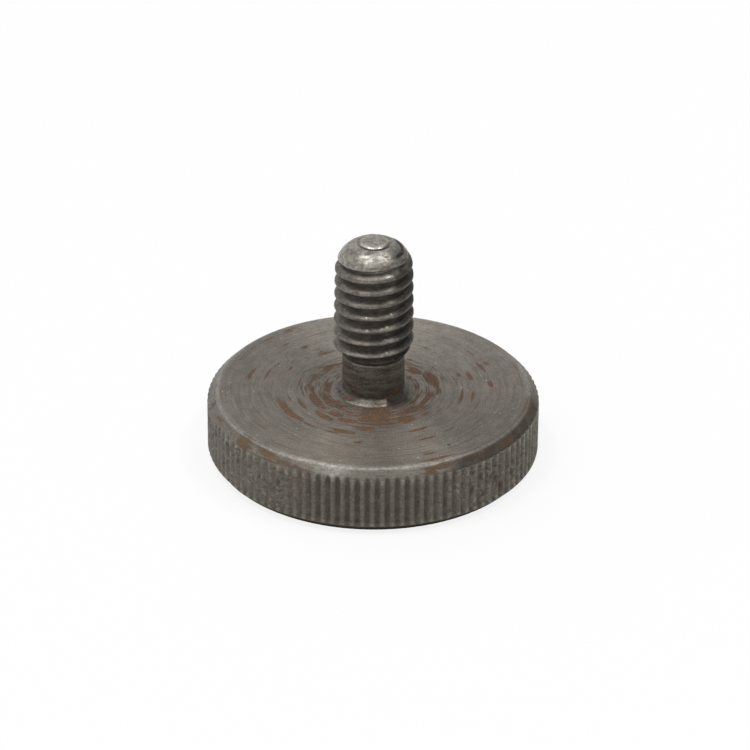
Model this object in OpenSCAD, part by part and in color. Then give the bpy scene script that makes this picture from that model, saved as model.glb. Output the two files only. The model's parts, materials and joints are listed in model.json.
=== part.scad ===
// Low knurled thumb screw with an M6 x 1 stud, turned from one bar of steel.
// The origin is the centre of the head's underside, and the stud points up along +Z.

/* [Head] */
// Diameter over the crests of the knurl
head_d = 24; // [20:0.5:36]
// Height of the head, from its underside to its seat
head_h = 5; // [4:0.1:10]
// Width and height of the chamfer round the seat
seat_chamfer = 0.7; // [0.4:0.05:1]
// Width and height of the chamfer round the underside
base_chamfer = 0.65; // [0.4:0.05:1]

/* [Knurl] */
// Number of straight grooves round the rim
groove_count = 106; // [60:1:124]
// Depth of a groove below the crests
groove_depth = 0.24; // [0.15:0.01:0.3]
// Angle between the two flanks of a groove
groove_angle = 90; // [60:5:90]

/* [Stud] */
// Height of the stud, from the seat to the top of its pip
stud_h = 12; // [10:0.5:30]
// Diameter of the plain neck between the seat and the thread
neck_d = 4.5; // [3.6:0.1:4.6]
// Height of the neck, from the seat to where the thread runs out
neck_h = 3.2; // [2:0.1:5]
// Width of the small cone at the foot of the neck
foot_w = 0.55; // [0.2:0.05:1]
// Height of that cone
foot_h = 0.3; // [0.1:0.05:0.8]

/* [Thread] */
// Diameter over the crests
thread_d = 5.8; // [5.6:0.05:6]
// Height that the thread climbs in one turn
pitch = 1; // [0.9:0.05:1.25]
// Depth of the thread, from its crests to its root
thread_depth = 0.53; // [0.4:0.01:0.55]
// Width of a crest, which wear has left flat
crest_w = 0.2; // [0.1:0.01:0.25]
// Angle round the stud where a crest would pass the top of the neck
thread_start = 299; // [0:1:359]

/* [Tip] */
// Radius of the rounded shoulder that ends the thread
shoulder_r = 2.25; // [1.8:0.05:2.6]
// Width of the flat ring round the pip
end_ring_w = 0.25; // [0.1:0.05:0.5]
// Diameter of the pip left where the screw was parted from its bar
pip_d = 2.2; // [1.6:0.1:2.6]
// Height of the pip above the flat ring
pip_h = 0.15; // [0.1:0.05:0.4]

/* [Hidden] */

$fn = 180;

head_r = head_d / 2;
thread_r = thread_d / 2;
root_r = thread_r - thread_depth;
neck_r = neck_d / 2;
pip_r = pip_d / 2;

// The run-out climbs from the neck to the thread at 45 degrees
thread_z = neck_h + thread_r - neck_r;

// The shoulder's arc leaves the shank as a tangent and ends at the flat ring
end_z = stud_h - pip_h;
arc_x = thread_r - shoulder_r;
arc_z = end_z - sqrt(pow(shoulder_r, 2) - pow(pip_r + end_ring_w - arc_x, 2));

// Flats in one turn of the thread, and how far their corners stand over the crest
// diameter before it is turned to size
thread_steps = 36;
corner_over = 0.006;

// How far a cut reaches past the surface that it cuts
clear = 0.5;

// Half section of the head, with its two chamfers
module head_section() {
    polygon([
        [0, 0],
        [head_r - base_chamfer, 0],
        [head_r, base_chamfer],
        [head_r, head_h - seat_chamfer],
        [head_r - seat_chamfer, head_h],
        [0, head_h]
    ]);
}

// Half section of the plain neck and the small cone at its foot
module neck_section() {
    polygon([
        [0, 0],
        [neck_r + foot_w, 0],
        [neck_r, foot_h],
        [neck_r, neck_h],
        [0, neck_h]
    ]);
}

// Half section of the run-out and the shank, before the thread is cut
module shank_section() {
    polygon([
        [0, neck_h],
        [neck_r, neck_h],
        [thread_r, thread_z],
        [thread_r, arc_z],
        [0, arc_z]
    ]);
}

// Half section of the rounded shoulder, its flat ring and the pip
module tip_section() {
    translate([0, arc_z]) square([arc_x, end_z - arc_z]);
    intersection() {
        translate([arc_x, arc_z]) circle(r = shoulder_r);
        translate([0, arc_z]) square([thread_r + clear, end_z - arc_z]);
    }
    translate([0, arc_z]) square([pip_r, stud_h - arc_z]);
}

// The head and the neck as they leave the lathe
module turned_head() {
    rotate_extrude() {
        head_section();
        translate([0, head_h]) neck_section();
    }
}

// The V grooves of the straight knurl, which run out through both chamfers
module knurl_grooves() {
    half_w = (groove_depth + clear) * tan(groove_angle / 2);
    translate([0, 0, -clear])
        linear_extrude(head_h + 2 * clear)
            for (i = [0 : groove_count - 1])
                rotate(i * 360 / groove_count)
                    translate([head_r, 0])
                        polygon([[-groove_depth, 0], [clear, -half_w], [clear, half_w]]);
}

// One right-hand helical ridge with 30 degree flanks. It starts below the run-out,
// where the shank is thinner than its root, and ends above the tip.
module thread_ridge() {
    sunk = 0.04;
    half_base = crest_w / 2 + (thread_depth + sunk) * tan(30);
    section = [
        [root_r - sunk, -half_base],
        [thread_r + corner_over, -crest_w / 2],
        [thread_r + corner_over, crest_w / 2],
        [root_r - sunk, half_base]
    ];
    turns = ceil((stud_h - neck_h) / pitch) + 2;
    rings = turns * thread_steps;
    points = [
        for (i = [0 : rings])
            for (p = section)
                let (a = thread_start + 360 * i / thread_steps)
                    [p[0] * cos(a), p[0] * sin(a), p[1] + pitch * i / thread_steps]
    ];
    walls = [
        for (i = [0 : rings - 1])
            for (j = [0 : 3])
                let (k = (j + 1) % 4, a = 4 * i + j, b = 4 * i + k, c = a + 4, d = b + 4)
                    each [[a, b, c], [b, d, c]]
    ];
    last = 4 * rings;
    ends = [[3, 2, 1, 0], [last, last + 1, last + 2, last + 3]];
    translate([0, 0, neck_h - pitch]) polyhedron(points, concat(walls, ends));
}

// The stud above its neck: what the turned section and the threaded core share
module threaded_stud() {
    intersection() {
        rotate_extrude() {
            shank_section();
            tip_section();
        }
        union() {
            translate([0, 0, neck_h - clear])
                cylinder(r = root_r, h = stud_h - neck_h + 2 * clear);
            thread_ridge();
        }
    }
}

module thumb_screw() {
    color("gray") {
        difference() {
            turned_head();
            knurl_grooves();
        }
        translate([0, 0, head_h]) threaded_stud();
    }
}

thumb_screw();
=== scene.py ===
import json
import math

import bmesh
import bpy
from mathutils import Matrix, Vector, noise


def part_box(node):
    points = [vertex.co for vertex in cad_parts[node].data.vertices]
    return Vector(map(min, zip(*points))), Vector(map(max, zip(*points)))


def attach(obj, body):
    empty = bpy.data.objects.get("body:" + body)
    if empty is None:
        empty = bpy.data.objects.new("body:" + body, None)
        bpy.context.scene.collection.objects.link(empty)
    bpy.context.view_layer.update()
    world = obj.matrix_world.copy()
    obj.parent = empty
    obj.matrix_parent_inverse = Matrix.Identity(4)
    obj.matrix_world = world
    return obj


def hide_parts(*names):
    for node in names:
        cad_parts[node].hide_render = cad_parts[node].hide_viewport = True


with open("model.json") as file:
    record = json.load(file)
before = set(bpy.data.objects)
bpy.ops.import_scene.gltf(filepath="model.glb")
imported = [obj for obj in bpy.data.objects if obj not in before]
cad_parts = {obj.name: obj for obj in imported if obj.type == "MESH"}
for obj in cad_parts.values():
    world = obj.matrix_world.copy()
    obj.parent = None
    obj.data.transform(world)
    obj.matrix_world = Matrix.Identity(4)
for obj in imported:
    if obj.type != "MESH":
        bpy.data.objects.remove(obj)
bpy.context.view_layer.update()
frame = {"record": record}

# Lengths in this file are millimetres, and turns are degrees round the axis:
# 0 faces -Y, and a positive turn goes towards +X.
mm = 0.001
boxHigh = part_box("thumb_screw")[1]
mounts = {mount["name"]: mount for mount in frame["record"]["mounts"]}
seatZ = mounts["seat"]["pos_m"][2] / mm         # upper face of the head
tipZ = boxHigh.z / mm                           # top of the pip
rimRadius = boxHigh.x / mm                      # over the crests of the knurl
crestRadius = mounts["stud"]["dims"]["r_mm"]    # over the crests of the thread


def smoothstep(low, high, value):
    t = min(max((value - low) / (high - low), 0.0), 1.0)
    return t * t * (3 - 2 * t)


def mix(a, b, share):
    return a + (b - a) * share


def patch(value, low, high, fade):
    # 1 between low and high and 0 outside, with both ends softened by fade to either side
    return smoothstep(low - fade, low + fade, value) * smoothstep(-high - fade, -high + fade, -value)


def softMin(a, b, blend):
    h = max(blend - abs(a - b), 0.0) / blend
    return min(a, b) - h * h * blend / 4


def softMax(a, b, blend):
    return -softMin(-a, -b, blend)


def signed(turn):
    # the same direction as a turn between -180 and 180
    return (turn + 180) % 360 - 180


def apart(turnA, turnB):
    # degrees between two directions
    return abs(signed(turnA - turnB))


def ringTurns(count):
    return [360 * k / count for k in range(count)]


def placeAt(r, turn, z):
    a = math.radians(turn)
    return Vector((r * math.sin(a), -r * math.cos(a), z))


def wobble(x, y, z, size):
    # smooth noise from -1 to 1, the same on every run
    return noise.noise(Vector((x, y, z)) / size)


def around(r, turn, z, size):
    # the same noise taken at a place on the screw
    return wobble(*placeAt(r, turn, z), size)


def section(corners, step):
    # points along a half section, with each corner (radius, height, rounding) rounded off
    path = []
    for i, (r, z, rounding) in enumerate(corners):
        here = Vector((r, z))
        if rounding == 0:
            path.append(here)
            continue
        start = here + (Vector(corners[i - 1][:2]) - here).normalized() * rounding
        end = here + (Vector(corners[i + 1][:2]) - here).normalized() * rounding
        for k in range(5):
            path.append(start.lerp(here, k / 4).lerp(here.lerp(end, k / 4), k / 4))
    points = [path[0]]
    for a, b in zip(path, path[1:]):
        pieces = max(1, math.ceil((b - a).length / step - 0.01))
        points += [a.lerp(b, k / pieces) for k in range(1, pieces + 1)]
    return points


# Patches of rust, each a ragged ellipse: from turn, to turn, from, to, and strength.
# On the seat they run from one radius to another, and on the chamfer they climb from 0 to 1.
seatRust = [
    (-147, -141, 10.40, 10.90, 0.5), (-136, -130, 10.50, 10.85, 0.5), (16, 33, 10.75, 11.02, 0.5),
    (20, 26, 9.70, 10.30, 0.6), (65, 92, 11.00, 11.13, 0.6), (-138, -132, 9.00, 9.50, 0.5),
    (-108, -97, 8.97, 9.30, 0.6), (113, 117, 8.97, 9.20, 0.6), (92, 99, 8.30, 8.72, 0.9),
    (108, 119, 8.36, 8.70, 0.9), (-111, -96, 7.90, 8.10, 0.6), (-143, -138, 7.70, 8.10, 0.7),
    (-10, -5, 7.45, 8.10, 0.6), (25, 35, 7.85, 8.10, 0.6), (40, 49, 7.85, 8.05, 0.5),
    (69, 80, 7.75, 7.95, 0.5), (76, 90, 7.13, 7.35, 0.8), (101, 112, 7.10, 7.40, 0.9),
    (-74, -48, 6.58, 7.24, 1.1), (-47, -35, 6.80, 7.02, 0.8), (-30, -18, 6.80, 7.00, 0.8),
    (-28, -12, 6.25, 6.85, 1.0), (-120, -111, 6.47, 6.80, 0.6), (23, 36, 6.55, 6.85, 0.9),
    (71, 88, 6.30, 6.63, 0.9), (93, 98, 6.70, 6.90, 0.6), (106, 113, 6.36, 6.70, 0.8),
    (-76, -57, 5.40, 5.83, 0.7), (-14, 2, 5.40, 6.13, 0.8), (125, 130, 5.50, 5.70, 0.5),
    (-51, -33, 5.08, 5.58, 1.1), (41, 53, 5.04, 5.30, 1.1), (101, 112, 5.10, 5.36, 0.7),
    (146, 152, 4.90, 5.30, 0.8), (-30, -14, 4.63, 5.30, 1.2), (19, 36, 4.40, 5.36, 1.2),
    (-145, -122, 4.30, 4.80, 1.0), (-98, -83, 4.20, 4.65, 0.9), (-80, -47, 4.25, 4.85, 1.1),
    (-43, -27, 4.30, 4.86, 1.1), (-16, 23, 3.00, 5.15, 1.05), (-18, 30, 4.90, 5.35, 0.7),
    (-15, 30, 2.70, 3.70, 1.0), (26, 50, 2.85, 3.20, 0.8), (46, 57, 4.58, 4.75, 0.5),
    (77, 97, 4.55, 4.86, 0.9), (94, 125, 4.00, 4.93, 1.2), (122, 143, 3.60, 4.45, 1.0),
    (24, 57, 3.75, 4.47, 1.1), (53, 85, 3.88, 4.32, 1.0), (40, 80, 3.24, 3.63, 0.8),
    (-78, -35, 3.20, 3.95, 1.1), (-111, -78, 3.00, 3.50, 1.0), (120, 128, 3.10, 3.40, 0.7),
    (83, 106, 2.95, 3.20, 0.8), (-54, -33, 2.40, 2.74, 0.85), (170, 200, 3.20, 4.60, 0.7),
    (205, 222, 6.10, 6.60, 0.6),
]
chamferRust = [
    (-82, -79, 0.3, 0.8, 0.7), (-73, -68, 0.3, 0.65, 0.6), (-55.5, -47.5, 0.0, 0.95, 1.0),
    (-45, -36, 0.35, 0.95, 0.52), (-42, -35, 0.0, 0.5, 0.42), (-36, -22, 0.15, 0.6, 0.60),
    (18.5, 22.5, 0.1, 0.75, 0.8), (21.5, 28.5, 0.4, 0.95, 0.72), (35, 46, 0.1, 0.9, 0.45),
    (48, 61, 0.2, 0.9, 0.42), (72, 85, 0.4, 1.0, 0.6), (118, 131, 0.1, 0.9, 0.8),
    (196, 214, 0.0, 0.8, 0.8),
]
rustForm = {"middle": 1.4, "most": 0.85, "seatSquare": 2.0, "chamferSquare": 3.0}


def rustIn(patches, turn, across, square):
    # strongest in the middle of a patch, 0.4 of its strength on its outline, and none farther out
    most = 0.0
    for fromTurn, toTurn, low, high, strength in patches:
        side = apart(turn, (fromTurn + toTurn) / 2) / ((toTurn - fromTurn) / 2)
        off = (across - (low + high) / 2) / ((high - low) / 2)
        reach = (abs(side) ** square + abs(off) ** square) ** (1 / square)
        most = max(most, strength * (rustForm["middle"] - reach))
    return min(most, rustForm["most"])


# The screw is one mesh, built ring by ring from the underside to the pip
screw = bmesh.new()
rustLayer = screw.verts.layers.float.new("rust")
# the next two masks carry dirt together with painted shade, and worn steel together with painted highlights
soilAndShadeLayer = screw.verts.layers.float.new("soilAndShade")
wearAndSheenLayer = screw.verts.layers.float.new("wearAndSheen")
pittedLayer = screw.verts.layers.float.new("pitted")
seatFinish, chamferFinish, rimFinish, baseFinish, neckFinish, studFinish = range(6)


def addPoint(r, turn, z, rust=0.0, soilAndShade=0.0, wearAndSheen=0.0, pitted=0.0):
    point = screw.verts.new(placeAt(r, turn, z) * mm)
    point[rustLayer] = rust
    point[soilAndShadeLayer] = soilAndShade
    point[wearAndSheenLayer] = wearAndSheen
    point[pittedLayer] = pitted
    return point


def joinRings(lower, upper, finish):
    # closes the strip between two rings, which may have different counts
    if len(lower) == len(upper):
        for k in range(len(lower)):
            n = (k + 1) % len(lower)
            screw.faces.new((lower[k], lower[n], upper[n], upper[k])).material_index = finish
        return
    a = b = 0
    while a < len(lower) or b < len(upper):
        here, there = lower[a % len(lower)], upper[b % len(upper)]
        if (a + 1) * len(upper) <= (b + 1) * len(lower):
            a += 1
            corner = lower[a % len(lower)]
        else:
            b += 1
            corner = upper[b % len(upper)]
        screw.faces.new((here, corner, there)).material_index = finish


def closeRing(ring, centre, finish):
    for k in range(len(ring)):
        screw.faces.new((ring[k], ring[(k + 1) % len(ring)], centre)).material_index = finish


rings = []


def addRing(ring, finish):
    if rings:
        joinRings(rings[-1], ring, finish)
    rings.append(ring)


# Underside: a plain turned disc
underside = {"rings": 5, "count": 212, "inset": 0.95, "rust": 0.35, "rustSize": 4.0}
undersideEdge = rimRadius - underside["inset"]
centre = addPoint(0, 0, 0)
for k in range(1, underside["rings"] + 1):
    r = undersideEdge * k / underside["rings"]
    ring = []
    for turn in ringTurns(underside["count"]):
        rust = underside["rust"] * max(0.0, around(r, turn, 3.0, underside["rustSize"]))
        ring.append(addPoint(r, turn, 0.0, rust=rust))
    addRing(ring, seatFinish)
closeRing(rings[0], centre, seatFinish)
print("underside done")

# Rim: two chamfers and the straight knurl, which wear has left shallower away from the front.
# A stretch is given as from turn, to turn and softness.
rim = {
    "grooves": 106, "perGroove": 6, "depth": 0.24, "grooveShape": 1.2, "seatChamfer": 0.70,
    "baseChamfer": 0.65, "rounding": 0.07, "edgeRounding": 0.16, "softRounding": 0.14, "blend": 0.05,
    "step": 0.075, "inset": 0.15, "onSeat": 0.2, "shallowEnd": 0.85, "endFrom": 3.9, "endPast": 0.12,
    "lowFrom": 0.68, "lowTo": 0.98, "sparseLow": 0.45, "sparseHigh": 0.3, "sparse": 3,
}
rimWear = {
    "left": (-68, -27, 6), "leftShare": 0.2, "sides": (24, 86, 8), "sideShare": 0.25,
    "right": (30, 86, 8), "rightShare": 0.12, "rough": (-100, -25, 8), "ownDepth": 0.15,
    "uneven": (0.3, 0.6), "unevenSize": 0.5, "crestDrop": 0.006, "crestWorn": 0.02,
    "crestWaver": (0.012, 0.03), "graze": 0.02, "grazeInside": 0.3, "waverSize": 0.4,
    "widerBevel": (-84, -55, 5), "widerBy": 0.13,
}
# darkening of the rim: dirt and painted shade in the grooves, and painted shade low on the wall, on the right
# of the seat chamfer and on the base chamfer
rimDirtAndShade = {
    "right": (29, 86, 5), "rightShare": 1.2, "left": (-90, -25, 8), "leftShare": 0.45, "base": 1.5,
    "low": 0.75, "lowReach": (1.05, 0.78), "offRidge": 0.8, "offSeatEdge": 0.6,
}
# brightening of the rim: worn edges that are partly painted highlight, and a painted highlight on the chamfer
rimEdge = {
    "front": (-34, 34, 6), "share": (0.6, 0.85), "width": (0.06, 0.38), "bright": (-20, -9, 3),
    "brightShare": 0.6, "upperEnds": 0.9, "upperReach": 0.6, "lowerEnds": 0.8, "lowerAt": 0.12,
    "lowerReach": 0.22,
}
rimPits = {
    "right": (24, 92, 8), "rightShare": 0.6, "left": (-95, -28, 6), "leftShare": 0.56, "offChamfer": 0.8,
}
rimNicks = [
    # turn and height
    (47, 2.45), (50, 1.6), (44.5, 2.75), (41, 1.7), (36, 2.2), (47.5, 2.0), (55.5, 2.15), (40, 3.15),
    (-34, 3.0),
]
nickForm = {"width": 0.22, "height": 0.32, "depth": 0.13, "dirtAndShade": 1.5, "rust": 0.7}
rimCount = rim["grooves"] * rim["perGroove"]
pitchTurn = 360 / rim["grooves"]
wallTop = seatZ - rim["seatChamfer"]
seatEdge = rimRadius - rim["seatChamfer"]


def knurlRadius(turn, z):
    # radius of the knurl's surface, and how far from its ridge a point lies, 1 being mid groove
    side = signed(turn)
    groove = math.floor(turn / pitchTurn)
    wave = 0.5 - 0.5 * math.cos(math.radians(360 * turn / pitchTurn))
    rough = patch(side, *rimWear["rough"])
    own = 1 + rimWear["ownDepth"] * wobble(groove * 3.1, 0, 0, 1.0)
    own += mix(*rimWear["uneven"], rough) * wobble(groove * 1.7, z, 4, rimWear["unevenSize"])
    worn = rimWear["leftShare"] * patch(side, *rimWear["left"])
    worn += (rimWear["sideShare"] * patch(abs(side), *rimWear["sides"])
             + rimWear["rightShare"] * patch(side, *rimWear["right"]))
    ends = mix(1.0, rim["shallowEnd"], smoothstep(rim["endFrom"], wallTop + rim["endPast"], z))
    ends *= smoothstep(rim["lowFrom"], rim["lowTo"], z)
    down = rim["depth"] * own * (1 - worn) * ends * wave ** rim["grooveShape"]
    crest = rimRadius - rimWear["crestDrop"] - rimWear["crestWorn"] * worn
    crest += mix(*rimWear["crestWaver"], rough) * around(rimRadius, turn, z, rimWear["waverSize"])
    return min(crest, rimRadius) - down, wave


def rimPoint(r, turn, z):
    side = signed(turn)
    mouth = rimRadius - r
    onChamfer = smoothstep(wallTop - 0.02, wallTop + 0.06, z)
    onBase = smoothstep(rim["baseChamfer"] + 0.02, rim["baseChamfer"] - 0.15, z)
    surface, wave = knurlRadius(turn, z)
    ridge = (1 - wave) ** 1.5
    nearSeat = 1 - smoothstep(*rimEdge["width"], abs(z - seatZ) + abs(mouth - rim["seatChamfer"]))

    # the form: the chamfered disc, less the grooves
    graze = rimWear["graze"] * max(0.0, around(rimRadius, turn, z, rimWear["waverSize"]))
    wider = rimWear["widerBy"] * patch(side, *rimWear["widerBevel"])
    bevel = rimRadius - max(0.0, rim["baseChamfer"] + wider - z)
    cut = softMin(min(r, bevel) - graze * (mouth > rimWear["grazeInside"]), surface, rim["blend"])

    # darker in the grooves, from dirt and painted shade, more on the chamfers and less on the worn left;
    # painted shade at the grooves' lower ends, on the right of the seat chamfer and on the base chamfer
    soilAndShade = min(1.0, max(0.0, r - cut) / rim["depth"] * mix(1.0, 2.0, onChamfer))
    soilAndShade *= mix(1.0, rimDirtAndShade["leftShare"], patch(side, *rimDirtAndShade["left"]) * (1 - onChamfer))
    low = rimDirtAndShade["low"] * smoothstep(*rimDirtAndShade["lowReach"], z) * (1 - rimDirtAndShade["offRidge"] * ridge)
    soiledAndShaded = rimDirtAndShade["rightShare"] * onChamfer * patch(side, *rimDirtAndShade["right"])
    soiledAndShaded *= 1 - rimDirtAndShade["offSeatEdge"] * nearSeat
    soilAndShade = max(soilAndShade, rimDirtAndShade["base"] * onBase, low, soiledAndShaded)

    rust = 0.0
    for nickTurn, nickZ in rimNicks:
        sideways = math.radians(apart(turn, nickTurn)) * rimRadius / nickForm["width"]
        off = math.hypot(sideways, (z - nickZ) / nickForm["height"])
        if off < 1:
            cut -= nickForm["depth"] * (1 - off)
            soilAndShade = max(soilAndShade, nickForm["dirtAndShade"] * (1 - off * off))
            rust = nickForm["rust"] * (1 - off)
    climb = (z - wallTop) / rim["seatChamfer"]
    rust = max(rust, rustIn(chamferRust, turn, climb, rustForm["chamferSquare"]) * onChamfer)

    # bright steel on the seat's edge, worn and partly painted highlight, most in front; a painted highlight
    # on one stretch of chamfer; and light ends of the ridges, partly painted highlight
    wearAndSheen = nearSeat * mix(*rimEdge["share"], patch(side, *rimEdge["front"]))
    bright = rimEdge["brightShare"] * patch(side, *rimEdge["bright"]) * onChamfer
    upper = smoothstep(wallTop - rimEdge["upperReach"], wallTop - 0.02, z) * (1 - onChamfer)
    lower = 1 - smoothstep(0.0, rimEdge["lowerReach"], abs(z - rim["baseChamfer"] - rimEdge["lowerAt"]))
    ridgeEnds = ridge * (rimEdge["upperEnds"] * upper + rimEdge["lowerEnds"] * lower)
    pitted = rimPits["rightShare"] * patch(side, *rimPits["right"])
    pitted += rimPits["leftShare"] * patch(side, *rimPits["left"])
    pitted *= 1 - rimPits["offChamfer"] * onChamfer
    return addPoint(cut, turn, z, rust=rust, soilAndShade=soilAndShade, wearAndSheen=max(wearAndSheen, ridgeEnds, bright), pitted=pitted)


def rimFinishAt(r, z):
    if r < seatEdge - 0.02 and z > wallTop:
        return seatFinish
    if z < rim["baseChamfer"] - 0.02:
        return baseFinish
    return chamferFinish if z > wallTop + 0.02 else rimFinish


rimSection = section([
    (undersideEdge + rim["inset"], 0.0, 0),
    (rimRadius - rim["baseChamfer"], 0.0, rim["rounding"]),
    (rimRadius, rim["baseChamfer"], rim["rounding"]),
    (rimRadius, wallTop, rim["softRounding"]),
    (seatEdge, seatZ, rim["edgeRounding"]),
    (seatEdge - rim["onSeat"], seatZ, 0),
], rim["step"])
sparseLow, sparseHigh = rim["baseChamfer"] + rim["sparseLow"], wallTop - rim["sparseHigh"]
rimRings = [p for i, p in enumerate(rimSection) if not sparseLow < p.y < sparseHigh or i % rim["sparse"] == 0]
for p in rimRings:
    ring = [rimPoint(p.x, pitchTurn * k / rim["perGroove"], p.y) for k in range(rimCount)]
    addRing(ring, rimFinishAt(p.x, p.y))
print("rim done:", len(rimRings), "rings of", rimCount)

# Seat: the turned upper face, with finer rings where the rust lies
foot = {"width": 0.55, "height": 0.3, "neckRadius": 2.25, "neckTop": 3.2}
footEdge = foot["neckRadius"] + foot["width"]
seat = {
    "count": 318, "fine": 0.075, "coarse": 0.135, "plain": 0.22, "fineTo": 5.6, "plainFrom": 8.9,
    "waver": 0.006, "waverSize": 1.6, "waverReach": 0.3, "thinRust": 0.26, "thinBand": (2.9, 5.3, 0.5),
}
# darkening of the seat: darker all round at the stud's foot, painted shade near the foot on the right, and a
# film of dirt in front on the left
seatDirtAndShade = {
    "right": (24, 64, 7), "farRight": (60, 112, 10), "farShare": 0.45, "reach": (0.8, 0.2), "share": 1.2,
    "lip": 0.35, "lipReach": 0.25, "film": 1.1, "filmTurns": (-46, 10, 8), "filmBand": (footEdge, 3.4, 0.15),
    "filmSize": 0.4,
}
# painted sheen that lightens the back of the seat, and a little its sides
seatSheen = {
    "back": (112, 180, 20), "backShare": 0.24, "sides": (50, 112, 20), "sideShare": 0.08, "inner": (8, 5),
}


def seatPoint(r, turn):
    side = signed(turn)
    dip = seat["waver"] * (1 + around(r, turn, 0, seat["waverSize"]))
    dip *= smoothstep(footEdge, footEdge + seat["waverReach"], r)
    thinRust = seat["thinRust"] * patch(r, *seat["thinBand"])
    rust = max(rustIn(seatRust, turn, r, rustForm["seatSquare"]), thinRust)
    # painted shade near the foot on the right, a darker ring at the foot, and a film of dirt in front on the
    # left
    soiledAndShaded = max(patch(turn, *seatDirtAndShade["right"]), seatDirtAndShade["farShare"] * patch(turn, *seatDirtAndShade["farRight"]))
    soiledAndShaded *= smoothstep(footEdge + seatDirtAndShade["reach"][0], footEdge + seatDirtAndShade["reach"][1], r)
    lip = seatDirtAndShade["lip"] * smoothstep(footEdge + seatDirtAndShade["lipReach"], footEdge, r)
    film = seatDirtAndShade["film"] * patch(side, *seatDirtAndShade["filmTurns"]) * patch(r, *seatDirtAndShade["filmBand"])
    film *= 0.6 + 0.8 * around(r, turn, 0, seatDirtAndShade["filmSize"])
    # painted sheen on the back and the sides of the seat
    paintedSheen = seatSheen["sideShare"] * patch(abs(side), *seatSheen["sides"])
    paintedSheen *= smoothstep(*seatSheen["inner"], r)
    paintedSheen += seatSheen["backShare"] * patch(abs(side), *seatSheen["back"])
    soilAndShade = max(lip, seatDirtAndShade["share"] * soiledAndShaded, film)
    return addPoint(r, turn, seatZ - dip, rust=rust, soilAndShade=soilAndShade, wearAndSheen=paintedSheen)


r = seatEdge - rim["onSeat"]
while r > footEdge + seat["fine"]:
    if r > seat["plainFrom"]:
        r -= seat["plain"]
    else:
        r -= seat["fine"] if r < seat["fineTo"] else seat["coarse"]
    r = max(r, footEdge)
    addRing([seatPoint(r, turn) for turn in ringTurns(seat["count"])], seatFinish)
print("seat done")

# Neck: the small cone at its foot and the plain undercut below the thread
neck = {
    "count": 160, "footRings": 6, "rings": 16, "gap": 0.12, "stain": (12, 62, 12), "stainReach": (0.4, 1.5),
    "stainRust": 0.6, "stainDirt": 1.25, "shade": (0.75, 0.45), "shadeReach": 1.8, "burr": 0.03,
    "burrReach": (0.22, 0.05), "burrSize": 0.3, "burrFront": (-40, 36, 10), "burrBehind": 0.25,
}
# the cone: painted shade on its right and on its left, a thin film, clouds and one spot of dirt, and a
# painted highlight on its front
cone = {
    "right": (0, 72, 8), "rightFrom": (0.87, 1.03), "rightShare": 1.2, "left": (-150, -22, 6),
    "leftShare": (0.25, 0.65), "everywhere": 0.12, "cloud": 0.9, "cloudSize": 0.35, "fill": 0.7,
    "spotTurn": -73, "spotWidth": 0.10, "spotHeight": 0.25, "spotDirt": 1.6, "rustTo": 2.4,
    "highlightFront": (-24, 21, 5), "highlightTurns": (-46, 21, 4), "highlightShare": (0.38, 0.66), "highlightReach": (0.1, 0.5),
}
neckLow = seatZ + foot["height"]
threadLow = seatZ + foot["neckTop"] - neck["gap"]


def conePoint(turn, share):
    # share climbs from 0 on the seat to 1 at the neck
    side = signed(turn)
    r = footEdge - foot["width"] * share
    sideways = r * math.sin(math.radians(side))
    # painted shade on the right and left, with dirt everywhere, in clouds and in one spot
    soiledAndShaded = cone["rightShare"] * smoothstep(*cone["rightFrom"], sideways) * patch(side, *cone["right"])
    soiledAndShaded += (mix(*cone["leftShare"], smoothstep(0.1, 0.5, share)) * patch(side, *cone["left"])
               + cone["everywhere"])
    soiledAndShaded += cone["cloud"] * max(0.0, around(3.0, turn, share, cone["cloudSize"]) - 0.1)
    spotAcross = math.radians(apart(turn, cone["spotTurn"])) * r / cone["spotWidth"]
    spot = cone["spotDirt"] - math.hypot(spotAcross, (share - 0.5) / cone["spotHeight"])
    # painted highlight on the cone's front
    wearAndSheen = mix(*cone["highlightShare"], patch(side, *cone["highlightFront"])) * patch(side, *cone["highlightTurns"])
    wearAndSheen *= 1 - smoothstep(*cone["highlightReach"], share)
    rust = rustIn(seatRust, turn, mix(footEdge, cone["rustTo"], share), rustForm["seatSquare"])
    return addPoint(r, turn, seatZ + foot["height"] * share, rust=rust,
                    soilAndShade=max(cone["fill"] * soiledAndShaded, spot), wearAndSheen=wearAndSheen)


def neckPoint(turn, z):
    stain = patch(turn, *neck["stain"]) * (1 - smoothstep(*neck["stainReach"], z - seatZ))
    shade = mix(*neck["shade"], smoothstep(0, neck["shadeReach"], z - neckLow))
    # the burr is larger and brighter in front: worn steel, partly painted highlight
    burr = smoothstep(*neck["burrReach"], threadLow - z)
    burr *= 0.6 + 0.4 * around(foot["neckRadius"], turn, 0, neck["burrSize"])
    burr *= mix(neck["burrBehind"], 1.0, patch(signed(turn), *neck["burrFront"]))
    return addPoint(foot["neckRadius"] + neck["burr"] * burr, turn, z, rust=neck["stainRust"] * stain,
                    soilAndShade=max(shade, neck["stainDirt"] * stain) * (1 - burr), wearAndSheen=burr)


for k in range(1, neck["footRings"] + 1):
    addRing([conePoint(turn, k / neck["footRings"]) for turn in ringTurns(neck["count"])], studFinish)
for k in range(1, neck["rings"] + 1):
    z = mix(neckLow, threadLow, k / neck["rings"])
    addRing([neckPoint(turn, z) for turn in ringTurns(neck["count"])], neckFinish)
print("neck done")

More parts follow.
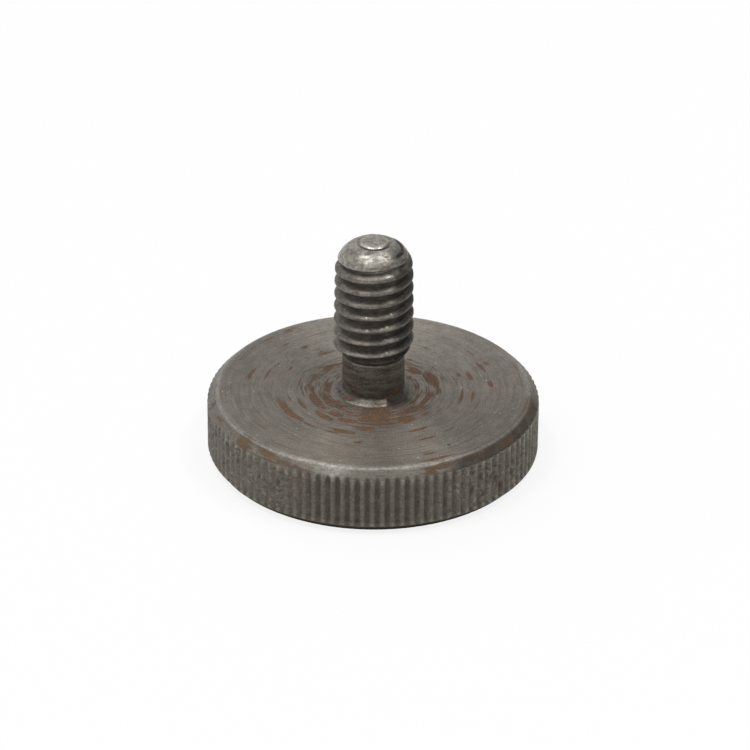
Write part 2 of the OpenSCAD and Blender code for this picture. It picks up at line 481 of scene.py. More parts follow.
# Thread: a right-hand helix whose rows run along the crests, clipped to the section of
# the shank, so it fades out in the run-out below and in the rounded shoulder above
thread = {
    "pitch": 1.0, "rowsPerPitch": 20, "crestAt": 0.12, "crestRounding": 0.13, "flankAngle": 30,
    "rootRadius": 2.37, "rootBlend": 0.14, "blend": 0.02, "top": 11.15, "shoulder": 2.25,
    "taperFrom": 4.2, "taper": 0.018, "nicks": 0.03, "nickSize": 0.35, "grain": 0.005, "grainSize": 0.22,
}
# darkening of the stud: dirt and painted shade in the thread's roots, and painted shade on its right and left
# sides and low at the run-out
studDirtAndShade = {
    "shape": 2.6, "right": (32, 150, 12), "rightShare": 0.95, "onCrest": 0.45, "crestDepth": (0.06, 0.35),
    "left": (-150, -52, 14), "leftShare": 0.4, "runOut": (0.45, 0.1), "offShoulder": 0.6,
}
pip = {"radius": 1.07, "height": 0.15, "flat": 0.28}
pipTop = tipZ - seatZ
endZ = pipTop - pip["height"]
arcX = crestRadius - thread["shoulder"]
arcZ = endZ - math.sqrt(thread["shoulder"] ** 2 - (pip["radius"] + pip["flat"] - arcX) ** 2)


def shankRadius(z):
    # section of the stud above the seat, without its thread
    if z < arcZ:
        full = crestRadius - thread["taper"] * max(0.0, z - thread["taperFrom"])
    else:
        full = arcX + math.sqrt(max(0.0, thread["shoulder"] ** 2 - (z - arcZ) ** 2))
        full -= thread["taper"] * (arcZ - thread["taperFrom"]) * (1 - smoothstep(arcZ, endZ, z))
    runOut = foot["neckRadius"] + max(0.0, z - foot["neckTop"])
    return min(full, runOut)


dents = [
    # turn, height above the seat, size round the stud, size along it, depth
    (32, 10.78, 0.8, 0.42, 0.11), (58, 11.2, 0.7, 0.5, 0.10), (-50, 11.25, 0.9, 0.22, 0.06),
    (-58, 10.85, 0.9, 0.2, 0.05), (-100, 11.0, 0.5, 0.4, 0.08), (140, 10.9, 0.7, 0.4, 0.10),
    (78, 10.9, 0.4, 0.3, 0.06), (200, 11.3, 0.6, 0.4, 0.08),
]


def dentAt(r, turn, z):
    deep = 0.0
    for dentTurn, dentZ, wide, tall, depth in dents:
        side = math.radians(apart(turn, dentTurn)) * r / wide
        up = (z - dentZ) / tall
        deep = max(deep, depth * (1 - smoothstep(0.0, 1.0, math.hypot(side, up))))
    return deep


# Bruises on the upper flanks, where the thread was gripped, flattened and painted bright as worn steel and
# partly as highlight: turn, height above the seat, half width
bruises = [
    (20, 4.38, 0.24), (19, 5.40, 0.26), (21, 6.42, 0.30), (27, 7.38, 0.24), (-11, 7.24, 0.16),
    (-10, 6.26, 0.18), (12, 6.34, 0.20), (23, 10.38, 0.60), (-4, 7.22, 0.16),
]
bruiseForm = {"height": 0.15, "softness": 0.9, "flatten": 0.5, "shine": 0.7}


def bruiseAt(turn, z):
    most = 0.0
    for bruiseTurn, bruiseZ, wide in bruises:
        side = math.radians(apart(turn, bruiseTurn)) * crestRadius / wide
        most = max(most, 1 - math.hypot(side, (z - bruiseZ) / bruiseForm["height"]))
    return smoothstep(0.0, bruiseForm["softness"], most)


# Dome: hammered a little, with dull arcs, painted shade on the right, and a painted sheen that is partly worn
# steel
dome = {
    "from": 0.75, "to": 1.15, "depth": 0.06, "radius": 1.9, "stretch": 2.2, "size": 0.62,
    "arcRadius": 1.2, "arcStretch": 5.0, "arcSize": 0.9, "arcFrom": 0.07, "arcShare": 2.2, "least": 0.04,
    "right": (28, 110, 14), "rightShare": 0.16, "shine": 0.5,
}


def hammered(turn, z):
    # shallow unevenness of the dome, longer round the screw than up it
    return dome["depth"] * (0.5 + 0.5 * around(dome["radius"], turn, dome["stretch"] * z, dome["size"]))


def domeShade(turn, z):
    # dull arcs that the last turning cuts left on the dome, and painted shade on its right
    dulledAndShaded = around(dome["arcRadius"], turn, dome["arcStretch"] * z, dome["arcSize"])
    dulledAndShaded += dome["rightShare"] * patch(turn, *dome["right"])
    return dome["least"] + dome["arcShare"] * max(0.0, dulledAndShaded - dome["arcFrom"])


def threadRadius(turn, z):
    # radius of the cut thread, whose crests wear has rounded
    phase = (z - thread["crestAt"]) / thread["pitch"] - turn / 360
    off = abs(phase - round(phase)) * thread["pitch"]
    crest = crestRadius - thread["nicks"] * max(0.0, around(3.0, turn, z, thread["nickSize"]) - 0.05)
    rounding = thread["crestRounding"]
    cut = crest - math.hypot(off / math.tan(math.radians(thread["flankAngle"])), rounding) + rounding
    return softMax(cut, thread["rootRadius"], thread["rootBlend"])


def studPoint(turn, z):
    body = shankRadius(z)
    bruise = bruiseAt(turn, z)
    onShoulder = smoothstep(arcZ + dome["from"], arcZ + dome["to"], z)
    r = softMin(body, threadRadius(turn, z), thread["blend"])
    r = mix(r, body, bruiseForm["flatten"] * bruise)
    r -= dentAt(r, turn, z) + thread["grain"] * (1 + around(r, turn, z, thread["grainSize"]))
    r -= onShoulder * hammered(turn, z)

    deep = min(1.0, max(0.0, crestRadius - r) / (crestRadius - thread["rootRadius"]))
    soilAndShade = mix(deep ** studDirtAndShade["shape"], domeShade(turn, z), onShoulder)
    # painted shade on the right and left of the stud and low at the run-out
    soiledAndShaded = studDirtAndShade["rightShare"] * patch(turn, *studDirtAndShade["right"])
    soiledAndShaded *= mix(studDirtAndShade["onCrest"], 1.0, smoothstep(*studDirtAndShade["crestDepth"], deep))
    soiledAndShaded = max(soiledAndShaded, studDirtAndShade["leftShare"] * patch(signed(turn), *studDirtAndShade["left"]))
    runOutHigh, runOutLow = studDirtAndShade["runOut"]
    soiledAndShaded = max(soiledAndShaded, smoothstep(foot["neckTop"] + runOutHigh, foot["neckTop"] + runOutLow, z))
    soilAndShade = max(soilAndShade, soiledAndShaded * (1 - studDirtAndShade["offShoulder"] * onShoulder)) * (1 - bruise)
    wearAndSheen = max(dome["shine"] * onShoulder, bruiseForm["shine"] * bruise)
    return addPoint(r, turn, seatZ + z, soilAndShade=soilAndShade, wearAndSheen=wearAndSheen)


lowZ, highZ = threadLow - seatZ, thread["top"]
rowStep = thread["pitch"] / thread["rowsPerPitch"]
rows = math.ceil((highZ - lowZ) / rowStep) + thread["rowsPerPitch"] + 1
columns = []
for j, turn in enumerate(ringTurns(neck["count"])):
    climb = thread["pitch"] * j / neck["count"] - thread["pitch"]
    column = []
    for i in range(rows):
        z = lowZ + climb + i * rowStep
        if column and (z <= lowZ or z > highZ + rowStep):
            column.append(column[-1])
        else:
            column.append(studPoint(turn, min(max(z, lowZ), highZ)))
    columns.append(column)
# one turn later, the first column meets the last one a pitch higher
columns.append([columns[0][min(i + thread["rowsPerPitch"], rows - 1)] for i in range(rows)])
for left, right in zip(columns, columns[1:]):
    for i in range(rows - 1):
        corners = []
        for corner in (left[i], right[i], right[i + 1], left[i + 1]):
            if corner not in corners:
                corners.append(corner)
        if len(corners) > 2:
            screw.faces.new(corners).material_index = studFinish
addRing([column[0] for column in columns[:-1]], studFinish)
rings.append([column[-1] for column in columns[:-1]])
print("thread done:", rows, "rows")

# Tip: the rest of the shoulder, the ring round the pip, and the pip left by parting off
tip = {
    "shoulderRings": 12, "ringDip": 0.03, "ringOut": 0.06, "bevelDown": 0.10, "bevelIn": 0.15, "below": 0.01,
    "flatRadii": (0.75, 0.2), "step": 0.12, "swell": 0.03, "swellSize": 0.9, "sinkShare": 0.3,
    "lipWidth": (0.20, 0.08), "lipIn": 0.07, "lipFront": (-45, 50, 15), "lipBehind": 0.3, "lipShine": 0.9,
    "cornerWidth": (0.22, 0.02), "cornerOut": 0.05, "cornerFront": (-60, 60, 20), "cornerBehind": 0.35,
    "cornerShade": 0.8, "cornerDull": 0.4, "dirtAndShade": 0.1, "shine": 0.5, "middleShine": 0.4,
}


def tipPoint(r, turn, z):
    side = signed(turn)
    a = math.radians(turn)
    onPip = smoothstep(pip["radius"] + 0.05, pip["radius"] - 0.02, r)
    sink = dentAt(r, turn, z) + hammered(turn, z)
    swell = 1 + tip["swell"] * wobble(math.cos(a), math.sin(a), 2, tip["swellSize"])
    # painted highlight on the pip's lip and painted shade in the corner round it, both strongest in front;
    # the tip also gets the dome's painted sheen
    lip = smoothstep(*tip["lipWidth"], abs(r - pip["radius"] + tip["lipIn"]))
    lip *= smoothstep(endZ, pipTop - 0.08, z)
    lip *= mix(tip["lipBehind"], 1.0, patch(side, *tip["lipFront"]))
    corner = smoothstep(*tip["cornerWidth"], abs(r - pip["radius"] - tip["cornerOut"])) * (1 - onPip)
    corner *= mix(tip["cornerBehind"], 1.0, patch(side, *tip["cornerFront"]))
    soilAndShade = max(mix(domeShade(turn, z), tip["dirtAndShade"], onPip), tip["dirtAndShade"] + tip["cornerShade"] * corner)
    wearAndSheen = tip["shine"] + tip["lipShine"] * lip - tip["cornerDull"] * corner
    return addPoint(mix(r - sink, r * swell, onPip), turn, seatZ + z - tip["sinkShare"] * sink,
                    soilAndShade=soilAndShade, wearAndSheen=wearAndSheen)


tipSection = []
for k in range(1, tip["shoulderRings"] + 1):
    z = mix(highZ, endZ, 1 - (1 - k / tip["shoulderRings"]) ** 2)
    tipSection.append((shankRadius(z), z))
pipFlat = pipTop - tip["below"]
pipSection = section([
    (pip["radius"] + pip["flat"], endZ, 0),
    (pip["radius"] + tip["ringOut"], endZ - tip["ringDip"], 0.03),
    (pip["radius"], pipTop - tip["bevelDown"], 0.05),
    (pip["radius"] - tip["bevelIn"], pipFlat, 0.08),
    (tip["flatRadii"][0], pipFlat, 0),
    (tip["flatRadii"][1], pipFlat, 0),
], tip["step"])
tipSection += [(p.x, p.y) for p in pipSection[1:]]
for r, z in tipSection:
    addRing([tipPoint(r, turn, z) for turn in ringTurns(neck["count"])], studFinish)
centre = addPoint(0, 0, seatZ + tipSection[-1][1], soilAndShade=tip["dirtAndShade"], wearAndSheen=tip["middleShine"])
closeRing(rings[-1], centre, studFinish)

bmesh.ops.recalc_face_normals(screw, faces=screw.faces)
for face in screw.faces:
    face.smooth = True
screwMesh = bpy.data.meshes.new("thumbScrew")
screw.to_mesh(screwMesh)
screw.free()
thumbScrew = bpy.data.objects.new("thumbScrew", screwMesh)
bpy.context.scene.collection.objects.link(thumbScrew)
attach(thumbScrew, "root")
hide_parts("thumb_screw")
screwMesh.calc_loop_triangles()
print("thumb screw:", len(screwMesh.vertices), "points,", len(screwMesh.loop_triangles), "triangles")


def addNode(tree, kind, **settings):
    node = tree.nodes.new(kind)
    for name, value in settings.items():
        setattr(node, name, value)
    return node


def feed(tree, socket, value):
    # a socket takes either a link or a plain value
    if isinstance(value, bpy.types.NodeSocket):
        tree.links.new(value, socket)
    else:
        socket.default_value = value


def calc(tree, operation, a, b=0.0, clamp=False):
    node = addNode(tree, "ShaderNodeMath", operation=operation, use_clamp=clamp)
    feed(tree, node.inputs[0], a)
    feed(tree, node.inputs[1], b)
    return node.outputs[0]


def times(tree, a, b):
    return calc(tree, "MULTIPLY", a, b)


def ramp(tree, value, low, high, toLow=0.0, toHigh=1.0):
    node = addNode(tree, "ShaderNodeMapRange", interpolation_type="SMOOTHSTEP")
    for socket, number in zip(node.inputs[:5], (value, low, high, toLow, toHigh)):
        feed(tree, socket, number)
    return node.outputs[0]


def blendColors(tree, share, a, b):
    node = addNode(tree, "ShaderNodeMix", data_type="RGBA")
    feed(tree, node.inputs[0], share)
    feed(tree, node.inputs[6], a)
    feed(tree, node.inputs[7], b)
    return node.outputs[2]


def noiseAt(tree, place, scale, detail=2.0, rough=0.5):
    node = addNode(tree, "ShaderNodeTexNoise")
    feed(tree, node.inputs["Vector"], place)
    node.inputs["Scale"].default_value = scale
    node.inputs["Detail"].default_value = detail
    node.inputs["Roughness"].default_value = rough
    return node.outputs["Fac"]


def maskAt(tree, name):
    # a mask that is stored on the mesh's points
    return addNode(tree, "ShaderNodeAttribute", attribute_name=name).outputs["Fac"]


def newGroup(name, takes, gives):
    tree = bpy.data.node_groups.new(name, "ShaderNodeTree")
    for label, kind, value in takes:
        socket = tree.interface.new_socket(label, in_out="INPUT", socket_type=kind)
        socket.default_value = value
    for label, kind in gives:
        tree.interface.new_socket(label, in_out="OUTPUT", socket_type=kind)
    return tree, addNode(tree, "NodeGroupInput").outputs, addNode(tree, "NodeGroupOutput").inputs


def useGroup(tree, group, **values):
    node = addNode(tree, "ShaderNodeGroup", node_tree=group)
    for label, value in values.items():
        feed(tree, node.inputs[label], value)
    return node.outputs


def vectorCalc(tree, operation, a, b=None):
    node = addNode(tree, "ShaderNodeVectorMath", operation=operation)
    feed(tree, node.inputs[0], a)
    if b is not None:
        feed(tree, node.inputs["Scale" if operation == "SCALE" else 1], b)
    return node.outputs["Value" if operation == "LENGTH" else "Vector"]


def lathePlace(tree):
    # where a point lies on the lathe: place in mm, distance from the axis, height, direction
    place = vectorCalc(tree, "SCALE", addNode(tree, "ShaderNodeTexCoord").outputs["Object"], 1 / mm)
    flat = vectorCalc(tree, "MULTIPLY", place, (1, 1, 0))
    split = addNode(tree, "ShaderNodeSeparateXYZ")
    feed(tree, split.inputs[0], place)
    return {"place": place, "radius": vectorCalc(tree, "LENGTH", flat), "height": split.outputs["Z"],
            "direction": vectorCalc(tree, "NORMALIZE", flat)}


def acrossCut(tree, lathe, onWall):
    # the marks lie side by side along the radius on a face, and along the height on a wall
    toWall = times(tree, calc(tree, "SUBTRACT", lathe["height"], lathe["radius"]), onWall)
    return calc(tree, "ADD", lathe["radius"], toWall)


def streakNoise(tree, lathe, across, stretch, detail=2.0, rough=0.5):
    # noise that is stretched along the lathe's cut
    perTurn, perMm = stretch
    lift = addNode(tree, "ShaderNodeCombineXYZ")
    feed(tree, lift.inputs["Z"], times(tree, across, perMm))
    turned = vectorCalc(tree, "SCALE", lathe["direction"], perTurn)
    return noiseAt(tree, vectorCalc(tree, "ADD", turned, lift.outputs[0]), 1.0, detail, rough)


floatKind, colorKind = "NodeSocketFloat", "NodeSocketColor"

# Turning marks: fine and broad rings that the cutting tool left. The broad ones fade outwards.
marksForm = {"fine": (3.5, 11.0), "broad": (1.8, 3.0), "fadeFrom": 4.0, "fadeTo": 8.0, "fadeLeast": 0.35}
turningMarks, takes, gives = newGroup(
    "turningMarks",
    [("On Wall", floatKind, 0.0), ("Fine", floatKind, 0.5), ("Broad", floatKind, 0.5)],
    [("Height", floatKind)])
tree = turningMarks
lathe = lathePlace(tree)
across = acrossCut(tree, lathe, takes["On Wall"])
fineRings = streakNoise(tree, lathe, across, marksForm["fine"], 3.0, 0.6)
broadRings = streakNoise(tree, lathe, across, marksForm["broad"])
outward = ramp(tree, lathe["radius"], marksForm["fadeFrom"], marksForm["fadeTo"], 1.0, marksForm["fadeLeast"])
flatBroad = times(tree, calc(tree, "SUBTRACT", broadRings, 0.5), outward)
feed(tree, gives["Height"], calc(
    tree, "ADD", times(tree, fineRings, takes["Fine"]),
    times(tree, calc(tree, "ADD", flatBroad, 0.5), takes["Broad"])))

# Rust: ragged arcs along the cut wherever a patch lies, and a few specks elsewhere
rustLook = {
    "arcs": (2.8, 5.5), "outline": (0.18, 0.60), "crumbScale": 7.0, "speckScale": 2.1,
    "speckFrom": (0.63, 0.73), "mottleScale": 2.6, "mottle": (0.34, 0.56), "thinnest": 0.75,
    "brownFrom": (0.86, 1.14), "dark": (0.066, 0.035, 0.020, 1), "light": (0.172, 0.094, 0.051, 1),
    "ochre": (0.112, 0.070, 0.034, 1),
}
rustStreaks, takes, gives = newGroup(
    "rustStreaks",
    [("On Wall", floatKind, 0.0), ("Patch", floatKind, 0.0), ("Specks", floatKind, 0.0),
     ("Strength", floatKind, 0.9), ("Ragged", floatKind, 2.7), ("Film", floatKind, 0.25),
     ("Ochre", floatKind, 0.0)],
    [("Mask", floatKind), ("Color", colorKind)])
tree = rustStreaks
lathe = lathePlace(tree)
across = acrossCut(tree, lathe, takes["On Wall"])
arcs = streakNoise(tree, lathe, across, rustLook["arcs"], 5.0, 0.65)
crumbs = noiseAt(tree, lathe["place"], rustLook["crumbScale"], 3.0, 0.65)
ragged = times(tree, calc(tree, "SUBTRACT", arcs, 0.5), takes["Ragged"])
patchMask = ramp(tree, calc(tree, "ADD", takes["Patch"], ragged), *rustLook["outline"])
film = calc(tree, "MULTIPLY", takes["Patch"], takes["Film"], clamp=True)
specks = noiseAt(tree, lathe["place"], rustLook["speckScale"], 4.0, 0.7)
speckMask = times(tree, ramp(tree, specks, *rustLook["speckFrom"]), takes["Specks"])
mottle = noiseAt(tree, lathe["place"], rustLook["mottleScale"], 3.0, 0.6)
solid = times(tree, calc(tree, "MAXIMUM", patchMask, speckMask), takes["Strength"])
solid = times(tree, solid, ramp(tree, mottle, *rustLook["mottle"], rustLook["thinnest"], 1.0))
feed(tree, gives["Mask"], calc(tree, "MAXIMUM", solid, film))
tone = ramp(tree, calc(tree, "ADD", crumbs, mottle), *rustLook["brownFrom"])
brown = blendColors(tree, tone, rustLook["dark"], rustLook["light"])
feed(tree, gives["Color"], blendColors(tree, takes["Ochre"], brown, rustLook["ochre"]))

# Grime and shade: dirt and painted shade that fill the hollows and shaded places given by the mask, and dirt
# that hangs in a thin film elsewhere
grimeAndShadeForm = {"scale": 1.3, "film": (0.35, 0.70), "filled": (0.3, 0.6), "thinnest": 0.75}
grimeAndShade, takes, gives = newGroup(
    "grimeAndShade",
    [("Hollow", floatKind, 0.0), ("Fill", floatKind, 0.8), ("Film", floatKind, 0.2)],
    [("Mask", floatKind)])
tree = grimeAndShade
cloud = noiseAt(tree, lathePlace(tree)["place"], grimeAndShadeForm["scale"], 4.0, 0.6)
film = times(tree, ramp(tree, cloud, *grimeAndShadeForm["film"]), takes["Film"])
uneven = ramp(tree, cloud, *grimeAndShadeForm["filled"], grimeAndShadeForm["thinnest"], 1.0)
filled = times(tree, times(tree, takes["Hollow"], takes["Fill"]), uneven)
feed(tree, gives["Mask"], calc(tree, "MAXIMUM", film, filled, clamp=True))

# Wear and sheen: where handling keeps the steel bright, and where a highlight or sheen is painted, in broken
# stretches
wearAndSheenForm = {"scale": 3.4, "broken": (0.36, 0.62), "least": 0.25}
rubbedEdge, takes, gives = newGroup(
    "rubbedEdge", [("Edge", floatKind, 0.0), ("Amount", floatKind, 1.0)], [("Mask", floatKind)])
tree = rubbedEdge
broken = noiseAt(tree, lathePlace(tree)["place"], wearAndSheenForm["scale"], 4.0, 0.7)
rubbedAndLit = times(tree, takes["Edge"], ramp(tree, broken, *wearAndSheenForm["broken"], wearAndSheenForm["least"], 1.0))
feed(tree, gives["Mask"], calc(tree, "MULTIPLY", rubbedAndLit, takes["Amount"], clamp=True))

# Pits: small dark marks, single or crowded, and light chips among the crowded ones; the finishes also use the
# single marks, painted light, as glints
pitForm = {"reach": (0.08, 0.2), "crowdScale": 3.6, "crowd": (0.56, 0.66), "chips": (0.46, 0.36)}
pitsAndGlints, takes, gives = newGroup(
    "pitsAndGlints", [("Scale", floatKind, 2.0), ("Share", floatKind, 0.1), ("Crowded", floatKind, 0.0)],
    [("Mask", floatKind), ("Chips", floatKind)])
tree = pitsAndGlints
place = lathePlace(tree)["place"]
cells = addNode(tree, "ShaderNodeTexVoronoi", feature="F1")
feed(tree, cells.inputs["Vector"], place)
feed(tree, cells.inputs["Scale"], takes["Scale"])
pick = addNode(tree, "ShaderNodeSeparateColor")
feed(tree, pick.inputs[0], cells.outputs["Color"])
chosen = calc(tree, "LESS_THAN", pick.outputs[0], takes["Share"])
single = times(tree, chosen, ramp(tree, cells.outputs["Distance"], *pitForm["reach"], 1.0, 0.0))
worn = noiseAt(tree, place, pitForm["crowdScale"], 4.0, 0.7)
crowd = times(tree, ramp(tree, worn, *pitForm["crowd"]), takes["Crowded"])
feed(tree, gives["Mask"], calc(tree, "MAXIMUM", single, crowd))
feed(tree, gives["Chips"], times(tree, ramp(tree, worn, *pitForm["chips"]), takes["Crowded"]))

# What all the steel finishes share, and what each of them changes. The colours are linear.
steelLook = {
    "onWall": 1.0, "fineMarks": 0.5, "broadMarks": 0.5, "markBump": 1.0, "grainShare": 0.5, "grainScale": 8.0,
    "grainRough": 0.65, "grainBump": 1.2, "rubAndSheen": 0.9, "rubShine": 0.05, "fill": 0.8, "film": 0.25,
    "pitBump": 0.8, "pitDepth": 0.7, "pitColor": (0.024, 0.018, 0.013, 1), "specks": 0.5, "glintDepth": 0.8,
    "glintScale": 2.2, "glintShare": 0.12, "rustStrength": 0.8, "rustFilm": 0.3, "rustBump": 0.4,
    "ochre": 0.0, "rustOnDirtAndShade": 0.55, "dirtAndShadeDulls": 0.7, "dullRoughness": 0.75, "roughSpread": 0.2,
    "bump": 0.7, "dullMetallic": 0.1, "specular": 0.3, "relief": 0.02,
}
rimLook = dict(
    steelLook, grainShare=0.75, toneRange=(0.36, 0.64),
    dark=(0.115, 0.104, 0.084, 1), light=(0.190, 0.174, 0.144, 1), rubbedAndLit=(0.34, 0.315, 0.27, 1),
    dirtAndShade=(0.050, 0.045, 0.036, 1), fill=0.75, pitScale=1.6, pitShare=0.12, pitBump=1.5, specks=0.4,
    metallic=0.6, roughness=0.52, roughSpread=0.25, anisotropic=0.0, grainScale=5.0, grainBump=2.2,
    markBump=0.2, bump=0.8, glintShare=0.14, ochre=0.2)
# each finish's dirt colour is also its painted shade, and its rubbed colour also its painted highlights and
# glints
looks = {
    "seatSteel": dict(
        steelLook, onWall=0.0, fineMarks=0.55, broadMarks=0.45, toneRange=(0.38, 0.62),
        dark=(0.156, 0.139, 0.116, 1), light=(0.286, 0.260, 0.221, 1), rubbedAndLit=(0.50, 0.48, 0.44, 1),
        dirtAndShade=(0.060, 0.050, 0.040, 1), rubAndSheen=0.8, rubShine=0.08, pitScale=1.3, pitShare=0.06, pitBump=1.0,
        metallic=0.70, roughness=0.45, anisotropic=0.88, markBump=1.6, rustStrength=0.95, rustFilm=0.25),
    "chamferSteel": dict(
        steelLook, toneRange=(0.38, 0.62),
        dark=(0.150, 0.135, 0.114, 1), light=(0.240, 0.219, 0.188, 1), rubbedAndLit=(0.60, 0.58, 0.53, 1),
        dirtAndShade=(0.052, 0.043, 0.034, 1), rubAndSheen=0.60, rubShine=0.03, pitScale=1.8, pitShare=0.10, pitBump=1.0,
        metallic=0.65, roughness=0.52, anisotropic=0.2, rustStrength=0.85, rustFilm=0.15, ochre=0.6),
    "rimSteel": rimLook,
    # the base chamfer faces the floor: dull, and painted dark as shade
    "baseSteel": dict(rimLook, metallic=0.1, dullMetallic=0.0, specular=0.0, dirtAndShade=(0.058, 0.052, 0.041, 1)),
    "neckSteel": dict(
        steelLook, grainShare=0.4, toneRange=(0.41, 0.59),
        dark=(0.105, 0.091, 0.075, 1), light=(0.285, 0.254, 0.216, 1), rubbedAndLit=(0.60, 0.57, 0.50, 1),
        dirtAndShade=(0.042, 0.035, 0.027, 1), fill=0.7, film=0.3, pitScale=2.4, pitShare=0.08, specks=0.3,
        metallic=0.8, roughness=0.5, roughSpread=0.15, anisotropic=0.4, grainBump=0.8, markBump=1.5,
        rustBump=0.3, rustStrength=1.0, rustFilm=0.4, glintScale=2.4, glintShare=0.08),
    "studSteel": dict(
        steelLook, fineMarks=0.6, broadMarks=0.4, toneRange=(0.28, 0.72),
        dark=(0.120, 0.108, 0.093, 1), light=(0.355, 0.327, 0.289, 1), rubbedAndLit=(0.70, 0.68, 0.60, 1),
        dirtAndShade=(0.030, 0.026, 0.021, 1), rubShine=0.30, fill=0.95, film=0.3, pitScale=2.6, pitShare=0.07,
        specks=0.15, metallic=0.9, roughness=0.50, roughSpread=0.25, anisotropic=0.3, grainScale=4.0,
        grainRough=0.5, grainBump=0.7, markBump=2.0, rustBump=0.3, bump=0.8, glintScale=2.4),
}


def steelMaterial(name, look):
    material = bpy.data.materials.new(name)
    material.use_nodes = True
    tree = material.node_tree
    tree.nodes.clear()
    place = lathePlace(tree)["place"]

    # clean steel: marks and grain, bright edges that are worn steel and partly painted highlight, and painted
    # glints
    marks = useGroup(tree, turningMarks, **{
        "On Wall": look["onWall"], "Fine": look["fineMarks"], "Broad": look["broadMarks"]})["Height"]
    grain = noiseAt(tree, place, look["grainScale"], 3.0, look["grainRough"])
    share = look["grainShare"]
    tone = calc(tree, "ADD", times(tree, marks, 1 - share), times(tree, grain, share))
    color = blendColors(tree, ramp(tree, tone, *look["toneRange"]), look["dark"], look["light"])
    rubAndSheen = useGroup(tree, rubbedEdge, Edge=maskAt(tree, "wearAndSheen"), Amount=look["rubAndSheen"])["Mask"]
    color = blendColors(tree, rubAndSheen, color, look["rubbedAndLit"])
    glint = useGroup(tree, pitsAndGlints, Scale=look["glintScale"], Share=look["glintShare"])["Mask"]
    color = blendColors(tree, times(tree, glint, look["glintDepth"]), color, look["rubbedAndLit"])

    # then chips, dirt with painted shade, pits and rust, one over the other
    marked = useGroup(tree, pitsAndGlints, Scale=look["pitScale"], Share=look["pitShare"],
                      Crowded=maskAt(tree, "pitted"))
    color = blendColors(tree, marked["Chips"], color, look["rubbedAndLit"])
    dirtAndShade = useGroup(tree, grimeAndShade, Hollow=maskAt(tree, "soilAndShade"), Fill=look["fill"], Film=look["film"])["Mask"]
    color = blendColors(tree, dirtAndShade, color, look["dirtAndShade"])
    pitShade = times(tree, marked["Mask"], look["pitDepth"])
    color = blendColors(tree, pitShade, color, look["pitColor"])
    rust = useGroup(tree, rustStreaks, **{
        "On Wall": look["onWall"], "Patch": maskAt(tree, "rust"), "Specks": look["specks"],
        "Strength": look["rustStrength"], "Film": look["rustFilm"], "Ochre": look["ochre"]})
    rusty = times(tree, rust["Mask"], ramp(tree, dirtAndShade, 0.3, 1.0, 1.0, look["rustOnDirtAndShade"]))
    color = blendColors(tree, rusty, color, rust["Color"])

    steel = addNode(tree, "ShaderNodeBsdfPrincipled")
    feed(tree, steel.inputs["Base Color"], color)
    dull = calc(tree, "MAXIMUM", rust["Mask"], times(tree, dirtAndShade, look["dirtAndShadeDulls"]))
    feed(tree, steel.inputs["Metallic"], ramp(tree, dull, 0.0, 1.0, look["metallic"], look["dullMetallic"]))
    spread = times(tree, calc(tree, "SUBTRACT", grain, 0.5), look["roughSpread"])
    rough = calc(tree, "ADD", ramp(tree, dull, 0.0, 1.0, look["roughness"], look["dullRoughness"]), spread)
    rough = calc(tree, "SUBTRACT", rough, times(tree, rubAndSheen, look["rubShine"]))
    feed(tree, steel.inputs["Roughness"], rough)
    steel.inputs["Anisotropic"].default_value = look["anisotropic"]
    steel.inputs["Anisotropic Rotation"].default_value = 0.25    # the marks spread light across the cut
    steel.inputs["Specular IOR Level"].default_value = look["specular"]
    tangent = addNode(tree, "ShaderNodeTangent", direction_type="RADIAL", axis="Z")
    feed(tree, steel.inputs["Tangent"], tangent.outputs[0])

    relief = calc(tree, "ADD", times(tree, marks, look["markBump"]), times(tree, grain, look["grainBump"]))
    relief = calc(tree, "SUBTRACT", relief, times(tree, marked["Mask"], look["pitBump"]))
    relief = calc(tree, "ADD", relief, times(tree, rust["Mask"], look["rustBump"]))
    bump = addNode(tree, "ShaderNodeBump")
    bump.inputs["Distance"].default_value = look["relief"] * mm
    bump.inputs["Strength"].default_value = look["bump"]
    feed(tree, bump.inputs["Height"], relief)
    feed(tree, steel.inputs["Normal"], bump.outputs[0])
    output = addNode(tree, "ShaderNodeOutputMaterial")
    feed(tree, output.inputs["Surface"], steel.outputs[0])
    return material


for name, look in looks.items():    # in the order of the finishes' numbers
    screwMesh.materials.append(steelMaterial(name, look))
print("steel done")


def paleShare(tree, share):
    # how much of plain white a ray from the camera, or through gloss or glass, sees
    path = addNode(tree, "ShaderNodeLightPath").outputs
    seen = calc(tree, "MAXIMUM", path["Is Camera Ray"], path["Is Glossy Ray"])
    return times(tree, calc(tree, "MAXIMUM", seen, path["Is Transmission Ray"]), share)


# Floor: pale, large enough to fill the view
floorLook = {"size": 3.0, "color": (0.93, 0.93, 0.93, 1), "roughness": 0.9, "white": 0.85}    # size in metres
half = floorLook["size"] / 2
floorCorners = [(-half, -half, 0), (half, -half, 0), (half, half, 0), (-half, half, 0)]
floorMesh = bpy.data.meshes.new("floor")
floorMesh.from_pydata(floorCorners, [], [(0, 1, 2, 3)])
floor = bpy.data.objects.new("floor", floorMesh)
bpy.context.scene.collection.objects.link(floor)
floorPaint = bpy.data.materials.new("floorPaint")
floorPaint.use_nodes = True
paint = floorPaint.node_tree
floorShader = paint.nodes["Principled BSDF"]
floorShader.inputs["Base Color"].default_value = floorLook["color"]
floorShader.inputs["Roughness"].default_value = floorLook["roughness"]
floorShader.inputs["Specular IOR Level"].default_value = 0.0
whiteShader = addNode(paint, "ShaderNodeEmission")
floorMix = addNode(paint, "ShaderNodeMixShader")
feed(paint, floorMix.inputs[0], paleShare(paint, floorLook["white"]))
feed(paint, floorMix.inputs[1], floorShader.outputs[0])
feed(paint, floorMix.inputs[2], whiteShader.outputs[0])
feed(paint, paint.nodes["Material Output"].inputs["Surface"], floorMix.outputs[0])
floorMesh.materials.append(floorPaint)

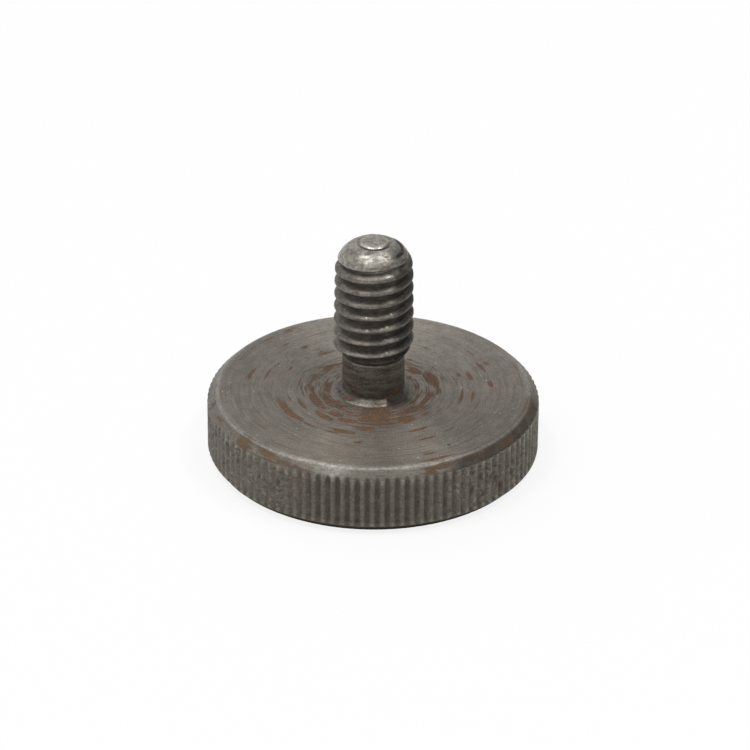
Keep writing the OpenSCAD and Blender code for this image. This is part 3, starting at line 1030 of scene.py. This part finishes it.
# Studio: a pale room that is darker on the right and in front, with one large and two small soft boxes
room = {
    "level": 0.76, "rightLevel": 0.22, "rightFrom": 0.15, "rightTo": 0.55,
    "frontLevel": 0.75, "frontFrom": -0.3, "frontTo": 0.4,
}
world = bpy.data.worlds.new("studio")
bpy.context.scene.world = world
world.use_nodes = True
sky = world.node_tree
toward = addNode(sky, "ShaderNodeSeparateXYZ")
feed(sky, toward.inputs[0], addNode(sky, "ShaderNodeTexCoord").outputs["Generated"])
sideLevel = ramp(sky, toward.outputs["X"], room["rightFrom"], room["rightTo"],
                 room["level"], room["rightLevel"])
frontShare = ramp(sky, toward.outputs["Y"], room["frontFrom"], room["frontTo"], room["frontLevel"], 1.0)
onlyCamera = addNode(sky, "ShaderNodeLightPath").outputs["Is Camera Ray"]
background = sky.nodes["Background"]
background.inputs["Color"].default_value = (1, 1, 1, 1)
feed(sky, background.inputs["Strength"],
     calc(sky, "MAXIMUM", times(sky, sideLevel, frontShare), onlyCamera))


def softbox(name, turn, elevation, distance, width, height, power):
    # a rectangular lamp that faces the middle of the screw
    lamp = bpy.data.lights.new(name, "AREA")
    lamp.shape = "RECTANGLE"
    lamp.size, lamp.size_y, lamp.energy = width, height, power
    box = bpy.data.objects.new(name, lamp)
    bpy.context.scene.collection.objects.link(box)
    a, e = math.radians(turn), math.radians(elevation)
    away = Vector((math.sin(a) * math.cos(e), -math.cos(a) * math.cos(e), math.sin(e)))
    box.location = away * distance
    box.rotation_euler = away.to_track_quat("Z", "Y").to_euler()


# turn, elevation, then distance, width and height in metres, and power in watts
softbox("topBox", 0, 80, 0.9, 0.60, 0.40, 0.6)
softbox("leftBox", -78, 72, 0.9, 0.30, 0.16, 2.0)
softbox("rightBox", 79, 66, 0.9, 0.30, 0.16, 2.0)
print("studio done")

# Camera: a long lens 300 mm from the middle of the underside, with the screw a little low in view
view = {
    "elevation": 30.26, "distance": 300, "sideways": 0.119, "lookDown": 29.238, "roll": 0.43,
    "lens": 197.9, "sensor": 36.0, "clipStart": 10,
}
camera = bpy.data.objects.new("camera", bpy.data.cameras.new("camera"))
bpy.context.scene.collection.objects.link(camera)
camera.data.lens = view["lens"]
camera.data.sensor_width = view["sensor"]
camera.data.clip_start = view["clipStart"] * mm
elevation = math.radians(view["elevation"])
camera.location = Vector((0, -math.cos(elevation), math.sin(elevation))) * view["distance"] * mm
camera.location.x = view["sideways"] * mm
tilt = Matrix.Rotation(math.radians(90 - view["lookDown"]), 3, "X")
roll = Matrix.Rotation(math.radians(view["roll"]), 3, "Z")
camera.rotation_euler = (tilt @ roll).to_euler()
bpy.context.scene.camera = camera
bpy.context.scene.view_settings.view_transform = "Standard"
